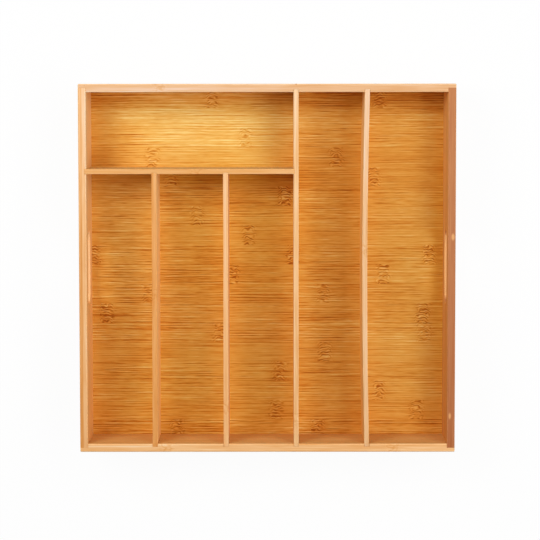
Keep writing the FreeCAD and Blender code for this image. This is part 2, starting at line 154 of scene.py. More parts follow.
# %% [markdown]
# ## Fibres: the long fine streaks
# Bamboo has no growth rings. Its grain is thousands of parallel fibre bundles, darker than the soft tissue
# between them, so a planed face shows fine streaks that run on for centimetres and sway a little. Noise
# stretched along the grain gives just that, at four widths from a single fibre to a broad cloud. A number
# that differs from strip to strip moves the noise, so that the streaks break off at each seam.

# %% Noise stretched along the grain
NOISE_ROUGHNESS = 0.6


def stretched(tree, place, along, across, shift, detail, side=None):
    """Noise of the place, each direction divided by its own length and the last one moved by a shift.

    A side, where there is one, pushes the place across the grain first, which makes the noise sway.
    """
    lengths = (along, across, across)
    parts = [calc(tree, "DIVIDE", value, length) for value, length in zip(place, lengths)]
    if side is not None:
        parts[1] = calc(tree, "ADD", parts[1], calc(tree, "DIVIDE", side, across))
    parts[2] = calc(tree, "ADD", parts[2], shift)
    where = put(tree, "CombineXYZ", dict(enumerate(parts))).outputs[0]
    sockets = {"Vector": where, "Scale": 1.0, "Detail": detail, "Roughness": NOISE_ROUGHNESS}
    return put(tree, "TexNoise", sockets).outputs[0]


print("stretched noise is ready, roughness", NOISE_ROUGHNESS)

# %% [markdown]
# ## Bundles and streaks in one group
# The bundles lie at almost even distances, so they are a sine wave across the grain. Its phase wanders,
# and its strength comes and goes, or it would look printed. The other four are stretched noise. Their
# lengths are shares of one length that each board sets, because a floor that is planed flat shows shorter
# streaks than an edge.

# %% The group bamboo_fibres
STRIP_JUMP = 17.3
OTHER_NOISE = 50.0
SWAY_SIZE = (24 * MM, 6 * MM)
BUNDLE_SPACING = 2.65 * MM
BUNDLE_WANDER = 1.8
BUNDLE_SHOWS = (0.3, 0.7)
SHORT_SHARE = 0.2
COMING_AND_GOING_SHARE = 0.5
LONG_SHARE = 1.6
ACROSS = {
    "wander": 5 * MM, "strength": 3 * MM, "streak": 0.65 * MM, "fibre": 0.62 * MM, "band": 7 * MM,
    "cloud": 14 * MM,
}
fibres, given, result = open_group(
    "bamboo_fibres",
    {"Place": "Vector", "Strip": "Float", "Length": "Float", "Sway": "Float", "Seed": "Float"},
    {"Bundle": "Float", "Streak": "Float", "Fibre": "Float", "Band": "Float", "Cloud": "Float"},
)
place = put(fibres, "SeparateXYZ", {"Vector": given["Place"]}).outputs
shift = calc(fibres, "MULTIPLY_ADD", given["Strip"], STRIP_JUMP, given["Seed"])
drift = stretched(fibres, place, *SWAY_SIZE, shift, detail=1.0)
drift = calc(fibres, "MULTIPLY", calc(fibres, "SUBTRACT", drift, MIDDLE), given["Sway"])
short = calc(fibres, "MULTIPLY", given["Length"], SHORT_SHARE)
medium = calc(fibres, "MULTIPLY", given["Length"], COMING_AND_GOING_SHARE)
long = calc(fibres, "MULTIPLY", given["Length"], LONG_SHARE)
wander = stretched(fibres, place, long, ACROSS["wander"], shift, detail=1.0, side=drift)
phase = calc(fibres, "DIVIDE", calc(fibres, "ADD", place[1], drift), BUNDLE_SPACING)
phase = calc(fibres, "MULTIPLY_ADD", wander, BUNDLE_WANDER, phase)
lines = calc(fibres, "SINE", calc(fibres, "MULTIPLY", phase, 2 * math.pi))
other_shift = calc(fibres, "ADD", shift, OTHER_NOISE)
strength = stretched(fibres, place, medium, ACROSS["strength"], other_shift, detail=0.0)
close_group(fibres, result, {
    "Bundle": calc(fibres, "MULTIPLY", lines, soft_step(fibres, strength, *BUNDLE_SHOWS)),
    "Streak": stretched(fibres, place, long, ACROSS["streak"], shift, detail=0.0, side=drift),
    "Fibre": stretched(fibres, place, short, ACROSS["fibre"], shift, detail=1.0, side=drift),
    "Band": stretched(fibres, place, long, ACROSS["band"], shift, detail=0.0, side=drift),
    "Cloud": stretched(fibres, place, given["Length"], ACROSS["cloud"], shift, detail=1.0),
})

# %% [markdown]
# ## Knuckles: where the stem had its joints
# Every 15 to 40 cm the stem has a joint. On a planed strip it is a short band right across the strip,
# where the fibres tangle: a ladder of dark and pale arches, with fibres that bend on either side. The
# group takes up to three knuckle places along the strip and measures how far the nearest one is. The
# arches are a sine wave across the strip, bent by the square of that distance, and noise makes them
# ragged. The noise's own place is pushed about by more noise, which is what curls the strokes.

# %% The group bamboo_knuckles
KNUCKLE_WAVE = 5 * MM
WAVE_SIZE = (40 * MM, 5 * MM)
CURL = 5 * MM
CURL_SIZE = (5 * MM, 4 * MM)
TANGLE_SIZE = (6.5 * MM, 0.9 * MM)
ARCH_SPACING = 3 * MM
ARCH_BEND = 16 * MM
ARCH_SHARE = 0.2
CORE_REACH = (10 * MM, 2.2 * MM)
FLARE_REACH = (16 * MM, 0.0)
DARK_STROKES = (0.52, 0.78)
PALE_STROKES = (0.46, 0.28)
CORE_DARK_SHARE = 0.1
knuckles, given, result = open_group(
    "bamboo_knuckles",
    {"Place": "Vector", "Knuckles": "Vector", "Shift": "Float"},
    {"Dark": "Float", "Pale": "Float", "Flare": "Float"},
)
place = put(knuckles, "SeparateXYZ", {"Vector": given["Place"]}).outputs
wave = stretched(knuckles, place, *WAVE_SIZE, given["Shift"], detail=1.0)
wave = calc(knuckles, "SUBTRACT", wave, MIDDLE)
waved = calc(knuckles, "MULTIPLY_ADD", wave, 2 * KNUCKLE_WAVE, place[0])
spots = put(knuckles, "SeparateXYZ", {"Vector": given["Knuckles"]}).outputs
gaps = [calc(knuckles, "ABSOLUTE", calc(knuckles, "SUBTRACT", waved, spot)) for spot in spots]
nearest = calc(knuckles, "MINIMUM", calc(knuckles, "MINIMUM", gaps[0], gaps[1]), gaps[2])
curl = stretched(knuckles, place, *CURL_SIZE, given["Shift"], detail=0.0)
curl = calc(knuckles, "MULTIPLY", calc(knuckles, "SUBTRACT", curl, MIDDLE), CURL)
tangle = stretched(knuckles, place, *TANGLE_SIZE, given["Shift"], detail=0.5, side=curl)
bent = calc(knuckles, "DIVIDE", calc(knuckles, "MULTIPLY", nearest, nearest), ARCH_BEND)
climb = calc(knuckles, "ADD", calc(knuckles, "ADD", place[1], curl), bent)
arches = calc(knuckles, "SINE", calc(knuckles, "MULTIPLY", climb, 2 * math.pi / ARCH_SPACING))
ragged = calc(knuckles, "MULTIPLY_ADD", arches, ARCH_SHARE, tangle)
core = soft_step(knuckles, nearest, *CORE_REACH)
strokes = soft_step(knuckles, ragged, *DARK_STROKES)
darkened = calc(knuckles, "MULTIPLY_ADD", strokes, 1 - CORE_DARK_SHARE, CORE_DARK_SHARE)
close_group(knuckles, result, {
    "Dark": calc(knuckles, "MULTIPLY", core, darkened),
    "Pale": calc(knuckles, "MULTIPLY", core, soft_step(knuckles, ragged, *PALE_STROKES)),
    "Flare": soft_step(knuckles, nearest, *FLARE_REACH),
})

# %% [markdown]
# ## The wood: strips, knuckles and fibres together
# One more group holds the three. A strip's number moves the noise of its knuckles and fibres, so no two
# strips are alike, and near a knuckle the fibres sway more, because they have to find their way round it.

# %% The group bamboo_shade: what it is made of
KNUCKLE_JUMP = 5.7
FLARE_SWAY = 2 * MM
wood_group, given, result = open_group(
    "bamboo_shade",
    {
        "Place": "Vector", "Normal": "Vector", "Knuckles": "Vector", "Width": "Float",
        "First Seam": "Float", "Seed": "Float", "Length": "Float", "Sway": "Float", "Streaks": "Float",
        "Strips": "Float", "Knots": "Float", "Edges": "Float", "Lift": "Float",
    },
    {"Shade": "Float", "Edge": "Float", "Roughness": "Float", "Height": "Float"},
)
sockets = {name: given[name] for name in ("Place", "Width", "First Seam", "Seed")}
laid = put(wood_group, "Group", sockets, node_tree=strips).outputs
shift = calc(wood_group, "MULTIPLY_ADD", laid["Strip"], KNUCKLE_JUMP, given["Seed"])
sockets = {"Place": given["Place"], "Knuckles": given["Knuckles"], "Shift": shift}
knotted = put(wood_group, "Group", sockets, node_tree=knuckles).outputs
sockets = {name: given[name] for name in ("Place", "Length", "Seed")}
sockets["Strip"] = laid["Strip"]
sockets["Sway"] = calc(wood_group, "MULTIPLY_ADD", knotted["Flare"], FLARE_SWAY, given["Sway"])
grown = put(wood_group, "Group", sockets, node_tree=fibres).outputs
print(wood_group.name, "takes", ", ".join(laid.keys() + knotted.keys() + grown.keys()))

# %% [markdown]
# ## Sanded edges, with a painted highlight
# Every board's edges are eased and sanded, so they are brighter, and the same mask also paints a highlight
# on them, as a rounded edge catches the light. The normal finds them: on a rounded edge it points neither
# straight up nor straight sideways. They are a mask of their own, because sanding and the painted
# highlight change the colour and not the grain.

# %% The group bamboo_shade: its edges
EDGE_NEAR_FACE = (0.1, 0.45)
EDGE_NEAR_TOP = (0.995, 0.9)
up = calc(wood_group, "ABSOLUTE", put(wood_group, "SeparateXYZ", {"Vector": given["Normal"]}).outputs[2])
off_face = soft_step(wood_group, up, *EDGE_NEAR_FACE)
# Sanded edges, with a painted highlight on them.
eased = calc(wood_group, "MULTIPLY", off_face, soft_step(wood_group, up, *EDGE_NEAR_TOP))
print("an edge is where the normal's height is between", EDGE_NEAR_FACE[0], "and", EDGE_NEAR_TOP[0])

# %% [markdown]
# ## One shade from all of it
# Streaks, strips and knuckles all do the same thing: they make the wood a little darker or paler. So they
# are added up to one number, the shade, around a half. Each row of the sum has a value, the middle that
# the value swings around, the board's own amount of it, and a weight. Each board then turns that number
# into its own colours with a ramp, and the same parts set how rough the wood is and how far its fibres
# stand up.

# %% The group bamboo_shade: its sum
STRIP_STREAKS = (0.5, 0.75)
BAND_ROUGHNESS = (-0.3, 0.7)
SUNK_DEPTH = -0.5
streaks = calc(wood_group, "MULTIPLY_ADD", laid["Contrast"], *STRIP_STREAKS)
streaks = calc(wood_group, "MULTIPLY", streaks, given["Streaks"])
shade = calc(wood_group, "ADD", given["Lift"], MIDDLE)
for value, middle, amount, weight in (
    (grown["Bundle"], 0.0, streaks, 0.21),
    (grown["Streak"], MIDDLE, streaks, 0.5),
    (grown["Fibre"], MIDDLE, streaks, 0.62),
    (grown["Band"], MIDDLE, streaks, 0.05),
    (grown["Cloud"], MIDDLE, streaks, 0.33),
    (laid["Tone"], MIDDLE, given["Strips"], 1.0),
    (laid["Seam"], 0.0, given["Strips"], -1.0),
    (knotted["Dark"], 0.0, given["Knots"], -1.0),
    (knotted["Pale"], 0.0, given["Knots"], 0.6),
    (knotted["Flare"], 0.0, given["Knots"], -0.12),
):
    change = calc(wood_group, "MULTIPLY", calc(wood_group, "SUBTRACT", value, middle), amount)
    shade = calc(wood_group, "MULTIPLY_ADD", change, weight, shade)
sunk = calc(wood_group, "ADD", laid["Seam"], knotted["Dark"])
close_group(wood_group, result, {
    "Shade": shade,
    "Edge": calc(wood_group, "MULTIPLY", eased, given["Edges"]),
    "Roughness": calc(wood_group, "MULTIPLY_ADD", grown["Band"], *BAND_ROUGHNESS),
    "Height": calc(wood_group, "MULTIPLY_ADD", sunk, SUNK_DEPTH, grown["Streak"]),
})

# %% [markdown]
# ## Joints
# Where a divider stands in its slot, a thin line of glue shows round it, and the inside of a slot can be
# darkened with painted shade. The place and size of the other board are known from the frame, so the line
# is worked out as the distance to that board's box: along each axis, how far the place is from the box's
# middle, less half the box's length there. The largest of the three is the distance, and it is below nought
# inside the box.

# %% The group joint_line
HALF = (MIDDLE, MIDDLE, MIDDLE)
LINE_REACH = (0.6 * MM, 0.1 * MM)
INSIDE_REACH = (0.1 * MM, -0.2 * MM)
joint_line, given, result = open_group(
    "joint_line",
    {"Place": "Vector", "Low": "Vector", "High": "Vector"},
    {"Line": "Float", "Inside": "Float"},
)
centre = vector(joint_line, "MULTIPLY", vector(joint_line, "ADD", given["Low"], given["High"]), HALF)
reach = vector(joint_line, "MULTIPLY", vector(joint_line, "SUBTRACT", given["High"], given["Low"]), HALF)
away = vector(joint_line, "ABSOLUTE", vector(joint_line, "SUBTRACT", given["Place"], centre))
parts = put(joint_line, "SeparateXYZ", {"Vector": vector(joint_line, "SUBTRACT", away, reach)}).outputs
gap = calc(joint_line, "MAXIMUM", calc(joint_line, "MAXIMUM", parts[0], parts[1]), parts[2])
close_group(joint_line, result, {
    "Line": soft_step(joint_line, calc(joint_line, "ABSOLUTE", gap), *LINE_REACH),
    "Inside": soft_step(joint_line, gap, *INSIDE_REACH),
})

# %% [markdown]
# ## Single spots
# A dent, a pale knot or a stretch of wood that came from a paler stem is simpler still: a soft ball around
# one point, drawn out to its own length along each axis.

# %% The group wood_spot
SPOT_REACH = (1.0, 0.35)
wood_spot, given, result = open_group(
    "wood_spot",
    {"Place": "Vector", "Centre": "Vector", "Size": "Vector"},
    {"Spot": "Float"},
)
offset = vector(wood_spot, "SUBTRACT", given["Place"], given["Centre"])
offset = vector(wood_spot, "DIVIDE", offset, given["Size"])
distance = put(wood_spot, "VectorMath", {0: offset}, operation="LENGTH").outputs["Value"]
close_group(wood_spot, result, {"Spot": soft_step(wood_spot, distance, *SPOT_REACH)})

# %% [markdown]
# ## From shade to colour
# Darker bamboo is also redder, and paler bamboo is whiter, so one middle colour gives a board's whole
# ramp. Each stop of the ramp is the middle colour times a factor for red, green and blue, and no stop is
# brighter than wood can be. The middle colour is written as on a paint chart and turned into the light
# values that Blender uses.

# %% The ramp of a board
DARK_STOPS = {0.0: (0.53, 0.29, 0.1), 0.25: (0.81, 0.6, 0.34), 0.5: (1.0, 1.0, 1.0)}
PALE_END = (1.2, 1.84, 4.0)
BRIGHTEST = 0.96


def linear(red, green, blue):
    """A chart colour, 0 to 255, as light, by the sRGB curve: a straight line near black, then a power."""
    chart = np.array([red, green, blue]) / 255
    return np.where(chart <= 0.04045, chart / 12.92, ((chart + 0.055) / 1.055) ** 2.4)


def bamboo_ramp(tree, shade, middle_colour, pale_end):
    """Turns the shade into a colour: the middle colour times the ramp's factors, from dark to pale."""
    ramp = put(tree, "ValToRGB", {0: shade})
    stops = ramp.color_ramp.elements
    factors_at = {**DARK_STOPS, 0.75: np.sqrt(pale_end), 1.0: pale_end}
    for i, (position, factors) in enumerate(factors_at.items()):
        stop = stops[i] if i < 2 else stops.new(position)
        stop.position = position
        stop.color = (*np.minimum(linear(*middle_colour) * factors, BRIGHTEST).tolist(), 1.0)
    return ramp.outputs[0]


print("a ramp has", len(DARK_STOPS) + 2, "stops")

# %% [markdown]
# ## Marks on the shade
# A board's shade is changed wherever it has a spot or meets another board. Each spot is a mask times a
# change, added to the shade. Each joint adds two: one for its line and one for the inside of its box.


# %% Spots and joints on a board
def soft_spot(tree, where, centre, size):
    """How much of a spot there is at each place, from 0 outside it to 1 in its middle."""
    sockets = {"Place": where, "Centre": centre, "Size": size}
    return put(tree, "Group", sockets, node_tree=wood_spot).outputs["Spot"]


def marked(tree, where, shade, spots, mates):
    """The shade, plus each spot's mask times its change, plus each joint's two masks times theirs."""
    for centre, size, change in spots:
        shade = calc(tree, "MULTIPLY_ADD", soft_spot(tree, where, centre, size), change, shade)
    for low, high, line_change, inside_change in mates:
        sockets = {"Place": where, "Low": low, "High": high}
        joint = put(tree, "Group", sockets, node_tree=joint_line).outputs
        shade = calc(tree, "MULTIPLY_ADD", joint["Line"], line_change, shade)
        shade = calc(tree, "MULTIPLY_ADD", joint["Inside"], inside_change, shade)
    return shade


print("marks come from", wood_spot.name, "and", joint_line.name)

# %% [markdown]
# ## Two colours for one board
# A board's faces are cut another way through the strips than its top edge, so they have a middle colour
# of their own. Two materials on one board would meet in a hard line, so there is one, and the normal
# chooses between its two ramps. Patches then tint the colour, as a filter would.

# %% Top and faces of a board
TOP_NOT_FACE = (0.1, 0.5)


def mixed(tree, share, first, second, **settings):
    """Mixes the second colour into the first by a share, or multiplies by it, where settings say so."""
    return put(tree, "Mix", {0: share, 6: first, 7: second}, data_type="RGBA", **settings).outputs[2]


def coloured(tree, where, shade, top, faces, pale_end, patches):
    """The faces' ramp, or the top's where the normal points up, times the tint of each patch."""
    on_faces = bamboo_ramp(tree, shade, faces, pale_end)
    on_top = bamboo_ramp(tree, shade, top, pale_end)
    up = calc(tree, "ABSOLUTE", put(tree, "SeparateXYZ", {"Vector": where["Normal"]}).outputs[2])
    colour = mixed(tree, soft_step(tree, up, *TOP_NOT_FACE), on_faces, on_top)
    for centre, size, tint in patches:
        spot = soft_spot(tree, where["Object"], centre, size)
        colour = mixed(tree, spot, colour, (*tint, 1.0), blend_type="MULTIPLY")
    return colour


print("a face turns into a top where the normal's height goes up to", TOP_NOT_FACE[1])

# %% [markdown]
# ## The bamboo of a board
# A board's material says which way its grain runs, where its strips are glued, where its knuckles sit, and
# what its middle colours are. Most boards are also a little paler towards the back: that is a painted
# sheen, the light from behind painted into the wood. Rails and the cross divider run along X, walls and the
# other dividers along Y, and all of those stack their strips upwards. The floor runs along X and lays its
# strips side by side along Y.

# %% What a board is like unless it says otherwise
GRAIN = {"along_x": (0, 2, 1), "along_y": (1, 2, 0), "floor": (0, 1, 2)}
# Sanded edges are paler, and this factor also paints a highlight on every rounded edge.
SANDED_AND_HIGHLIGHT = (1.22, 1.32, 1.3, 1.0)
# Painted sheen: how much paler a board gets per metre towards the back.
PAINTED_SHEEN_PER_METRE = 0.35
FIBRE_RELIEF = 0.1 * MM
RELIEF_STRENGTH = 0.3
OILED_GLOSS = 0.1
MOST_KNUCKLES = 3
FAR_OFF = 9.0
BOARD = {
    "Width": 21.2 * MM, "First Seam": -2.0 * MM, "Length": 120 * MM, "Sway": 0.4 * MM, "Streaks": 0.4,
    "Strips": 0.08, "Knots": 0.12, "Edges": 0.7,
}
print("strips of", round(BOARD["Width"] / MM, 1), "mm, streaks of", round(BOARD["Length"] / MM), "mm")


# %% A material for one board
def bamboo(name, grain, top, faces, seed, knots_at=(), spots=(), patches=(), mates=(), by_place=None,
           paler=PAINTED_SHEEN_PER_METRE, pale_end=PALE_END, **changes):
    """A bamboo with the colours of its top and faces, its grain, and its knuckles in mm along the grain.

    Spots are darker or paler, patches are tinted, and mates are boxes of boards or layers that it meets.
    The wood's inputs are BOARD's, apart from changes and from what by_place works out for each place.
    """
    material = bpy.data.materials.new(name)
    material.use_nodes = True
    tree = material.node_tree
    where = put(tree, "TexCoord").outputs
    parts = put(tree, "SeparateXYZ", {"Vector": where["Object"]}).outputs
    place = put(tree, "CombineXYZ", {i: parts[axis] for i, axis in enumerate(GRAIN[grain])}).outputs[0]
    listed = [spot * MM for spot in knots_at] + [FAR_OFF] * MOST_KNUCKLES
    sockets = {"Place": place, "Normal": where["Normal"], "Seed": seed, "Knuckles": listed[:MOST_KNUCKLES]}
    sockets.update(BOARD, **changes)
    if by_place:
        sockets.update(by_place(tree, place))
    wood = put(tree, "Group", sockets, node_tree=wood_group).outputs
    # Painted sheen: the shade rises with Y, so the board is paler towards the back.
    shade = calc(tree, "MULTIPLY_ADD", parts[1], paler, wood["Shade"])
    shade = marked(tree, where["Object"], shade, spots, mates)
    colour = coloured(tree, where, shade, top, faces, pale_end, patches)
    # Sanded edges, with a painted highlight on them.
    colour = mixed(tree, wood["Edge"], colour, SANDED_AND_HIGHLIGHT, blend_type="MULTIPLY", clamp_result=True)
    sockets = {"Height": wood["Height"], "Distance": FIBRE_RELIEF, "Strength": RELIEF_STRENGTH}
    bump = put(tree, "Bump", sockets)
    shader = tree.nodes["Principled BSDF"].inputs
    tree.links.new(colour, shader["Base Color"])
    tree.links.new(wood["Roughness"], shader["Roughness"])
    tree.links.new(bump.outputs[0], shader["Normal"])
    shader["Specular IOR Level"].default_value = OILED_GLOSS
    return material


def dress(node, material):
    """Gives a CAD board its finish, through its material slot."""
    for slot in boards[node].material_slots:
        slot.material = material
    print(node, "wears", material.name)


print("ways for the grain to run:", ", ".join(GRAIN))

# %% [markdown]
# ## The floor's strips and knuckles
# The floor is the busiest piece: eighteen strips of warm golden bamboo, all with their grain across the
# tray. Its knuckles can be seen one by one, so they are listed, strip by strip from the front. A row gives
# how pale the strip is, how strong its knuckles are, and where they lie, in mm from the middle of the
# tray. A colour ramp with constant steps is a neat way to hand such a list to a shader: the strip's number
# picks a step, and the step's red, green and blue carry three values. One ramp carries the places, another
# the paleness and the strength.

# %% The floor's strips and knuckles
FLOOR = {
    "Width": 20.26 * MM, "First Seam": -182.9 * MM, "Length": 55 * MM, "Sway": 0.12 * MM, "Streaks": 1.28,
    "Strips": 0.1, "Edges": 0.0,
}
FLOOR_SEED = 3.0
FLOOR_STRIPS = [
    (0.5, 0.42, -94, 52), (0.5, 0.4, 9, 155), (0.5, 0.38, 116), (0.5, 0.36, 13), (0.5, 0.5, 59),
    (0.5, 0.4, -50, 163), (0.5, 0.58, -167, 161), (0.5, 0.34, -124, 58), (0.5, 0.46, -37, 120),
    (0.5, 0.52, -180, 26, 168), (0.5, 0.46, -19), (0.5, 0.4, -73), (0.5, 0.8, 18), (0.5, 0.38, -99, 110),
    (0.5, 0.36, -119, 71), (0.5, 0.29, -23), (0.53, 0.0), (0.3, 0.46, -57, 116),
]
PALENESS_WEIGHT = 0.5
OFF_FLOOR = 600


def listed_by_step(tree, step, rows):
    """A colour ramp with constant steps, used as a list: step number i gives the three values of row i."""
    ramp = put(tree, "ValToRGB", {0: step})
    ramp.color_ramp.interpolation = "CONSTANT"
    stops = ramp.color_ramp.elements
    for i, row in enumerate(rows):
        stop = stops[i] if i < 2 else stops.new(i / len(rows))
        stop.position = i / len(rows)
        stop.color = (*row, 1.0)
    return ramp.outputs[0]


def strip_habits(tree, place):
    """The inputs that differ from strip to strip, from the lists.

    A ramp holds values from 0 to 1, so a knuckle's place goes in as its share of the way between two places
    that are off the floor, one on either side. Such a place also fills the list where there is no knuckle.
    """
    sockets = {name: FLOOR[name] for name in ("Width", "First Seam")}
    sockets.update(Place=place, Seed=FLOOR_SEED)
    number = put(tree, "Group", sockets, node_tree=strips).outputs["Strip"]
    step = calc(tree, "MULTIPLY_ADD", number, 1 / len(FLOOR_STRIPS), MIDDLE / len(FLOOR_STRIPS))
    span = 2 * OFF_FLOOR
    places = []
    habits = []
    for paleness, strength, *knots_at in FLOOR_STRIPS:
        filled = knots_at + [OFF_FLOOR] * (MOST_KNUCKLES - len(knots_at))
        places.append([spot / span + MIDDLE for spot in filled])
        habits.append((paleness, strength, 0.0))
    from_middle = vector(tree, "SUBTRACT", listed_by_step(tree, step, places), HALF)
    spread = vector(tree, "MULTIPLY", from_middle, (span * MM,) * 3)
    paleness, strength, _ = put(tree, "SeparateColor", {0: listed_by_step(tree, step, habits)}).outputs
    lift = calc(tree, "MULTIPLY", calc(tree, "SUBTRACT", paleness, MIDDLE), PALENESS_WEIGHT)
    return {"Knuckles": spread, "Knots": strength, "Lift": lift}


print(len(FLOOR_STRIPS), "strips with", sum(len(row) - 2 for row in FLOOR_STRIPS), "knuckles")

# %% [markdown]
# ## The floor's tone from place to place, with painted light and shade
# A stem's colour changes along its length, so the floor's tone also drifts from place to place. Some spots
# are painted light and shade: the pale, cool middle of the back compartment and a warmer strip at its back
# are painted light, and the deep orange back corners on the right, a band along the cross divider and a
# strip along the right wall are painted shadow. An image mask could hold that, but a few wide soft spots
# do it without a picture. Some lift the shade, some make the streaks fainter or stronger, and the others
# tint the colour, each with a factor for red, green and blue.

# %% Places on the floor
SPOT_HEIGHT = 30
PALE_SPOTS_AND_PAINTED_SHEEN = [
    # Painted sheen: the pale middle of the back compartment.
    ((-60, 146), (134, 84), 0.15),
    ((138, -20), (64, 215), 0.05),
]
CALMER_PLACES = [
    ((141, 0), (80, 400), -0.22),
    ((-6, -40), (60, 250), -0.17),
    ((-78, 140), (170, 60), -0.2),
    ((-149, -40), (60, 250), 0.06),
]
TINTS_PAINTED_LIGHT_AND_SHADE = [
    # Painted sheen: the same middle of the back compartment, made cooler.
    ((-60, 146), (134, 84), (0.92, 1.02, 1.2)),
    # Painted light: a warmer strip at the back of the back compartment.
    ((-75, 181), (110, 22), (1.15, 1.03, 0.95)),
    ((-130, 38), (80, 100), (1.04, 1.1, 1.25)),
    ((-35, 30), (110, 115), (1.02, 1.06, 0.95)),
    ((-60, -135), (130, 90), (1.0, 1.08, 1.06)),
    # Painted shadow: the back corners on the right.
    ((94, 182), (112, 32), (0.9, 0.87, 0.72)),
    # Painted shadow: a band along the cross divider.
    ((-45, 92), (130, 14), (0.92, 0.83, 0.5)),
    # Painted shadow: a strip along the right wall.
    ((181, 0), (16, 190), (0.94, 0.88, 0.65)),
]


def mm(*lengths):
    """Lengths in mm, as the metres that Blender works in."""
    return tuple(length * MM for length in lengths)


def spot_at(centre, size, change):
    """A spot for a material, with its centre and its half lengths in mm."""
    return mm(*centre), mm(*size), change


def on_floor(listed):
    """Spots on the floor's upper face, from places and sizes seen from above."""
    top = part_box("floor_panel")[1].z / MM
    return [spot_at((*spot, top), (*size, SPOT_HEIGHT), change) for spot, size, change in listed]


print(len(PALE_SPOTS_AND_PAINTED_SHEEN), "paler,", len(CALMER_PLACES), "calmer and", len(TINTS_PAINTED_LIGHT_AND_SHADE), "tinted places")

# %% [markdown]
# ## The floor
# Now the floor's bamboo can be put together. Its top and its edges have the same golden colour, because it
# is one flat panel and only its top shows. Its strips lie in their own order, so what differs from strip to
# strip and from spot to spot is worked out in the material and linked into the wood.

# %% The floor
GOLDEN = (232, 163, 66)
# Painted sheen: the floor too is a little paler towards the back.
FLOOR_PAINTED_SHEEN_PER_METRE = 0.12


def floor_habits(tree, place):
    """The inputs that differ over the floor: those of its strips, and streaks that some spots change."""
    streaks = FLOOR["Streaks"]
    for centre, size, change in on_floor(CALMER_PLACES):
        streaks = calc(tree, "MULTIPLY_ADD", soft_spot(tree, place, centre, size), change, streaks)
    return {**strip_habits(tree, place), "Streaks": streaks}


floor_bamboo = bamboo("floor_bamboo_strips", "floor", GOLDEN, GOLDEN, FLOOR_SEED, by_place=floor_habits,
                      spots=on_floor(PALE_SPOTS_AND_PAINTED_SHEEN), patches=on_floor(TINTS_PAINTED_LIGHT_AND_SHADE),
                      paler=FLOOR_PAINTED_SHEEN_PER_METRE, **FLOOR)
dress("floor_panel", floor_bamboo)

# %% [markdown]
# ## What the frame's boards meet
# The two rails run the whole width and lap over the walls' ends, and the dividers stand in slots. Every
# rail knows the boards that it meets, so it can draw a faint line round them. One slot also gets painted
# shadow, inside it and round it. The right long divider is bowed, so its box is wider than its end, and the
# end is measured from the box's right-hand side.

# %% Slots and laps
TALL = 1.0
FAINT_LINE = (-0.04, 0.0)
# Painted shadow inside a slot and in a darker line round it.
SLOT_PAINTED_SHADOW = (-0.12, -0.12)
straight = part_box("long_divider_left")
divider_thick = straight[1].x - straight[0].x


def tall_box(node):
    """The box of a board, made tall, so that only its outline from above counts."""
    low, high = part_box(node)
    return (low.x, low.y, -TALL), (high.x, high.y, TALL), *FAINT_LINE


def slot_box(node, changes=FAINT_LINE):
    """The box of a divider's straight end, from its right-hand face back by its thickness, made tall."""
    low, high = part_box(node)
    return (high.x - divider_thick, low.y, -TALL), (high.x, high.y, TALL), *changes


walls = [tall_box("left_wall"), tall_box("right_wall")]
long_ends = [slot_box("long_divider_left"), slot_box("long_divider_right")]
# The first short divider's slot gets painted shadow.
short_ends = [slot_box("short_divider_left", SLOT_PAINTED_SHADOW), slot_box("short_divider_right")]
print("dividers are", round(divider_thick / MM, 1), "mm thick")

# %% [markdown]
# ## Marks on the frame
# A few marks are this tray's own: a small dark dent on the back rail's outer edge, two pale knots on the
# right wall's top edge, and the pale sill of its hand-hole. The left wall is glued from two layers, and
# the outer one is more orange. A layer is drawn as a joint is, as a box that reaches into the board, but
# with no line.

# %% Marks and layers
RIM = cad_box[1][2] / MM
HOLE_SILL = RIM - 35.5
FAR = TALL / MM


def layer(low, high, change):
    """A layer inside a board, as a box in mm with no line round it."""
    return mm(*low), mm(*high), 0.0, change


dent = spot_at((29.2, 186.3, RIM), (1.3, 1.0, 1.5), -0.5)
dark_end = spot_at((190, 186.5, RIM), (260, 30, 60), -0.06)
pale_knots = [
    spot_at((187.2, 32.2, RIM), (2.2, 5, 3), 0.5),
    spot_at((184.8, -149.8, RIM), (1.8, 4.5, 3), 0.5),
]
pale_sill = spot_at((184, 0, HOLE_SILL), (4.5, 60, 4), 0.5)
outer_layer = layer((-FAR, -FAR, -FAR), (-186.3, FAR, FAR), -0.13)
upper_strip = layer((181, -FAR, 36), (182.6, FAR, RIM - 1.5), -0.08)
print("rim at", round(RIM, 1), "mm, hand-hole sill at", round(HOLE_SILL, 1), "mm")

# %% [markdown]
# ## Rails and walls
# The back rail is the palest, with a slightly darker right end, the front rail is more honey-coloured, and
# the right wall came from a darker, redder stem. Its pale knots aren't as white as those of the other
# boards, so its ramp has a pale end of its own. How far the edges were sanded, and how strong their painted
# highlight is, differs too. The walls get a stronger painted sheen towards the back.

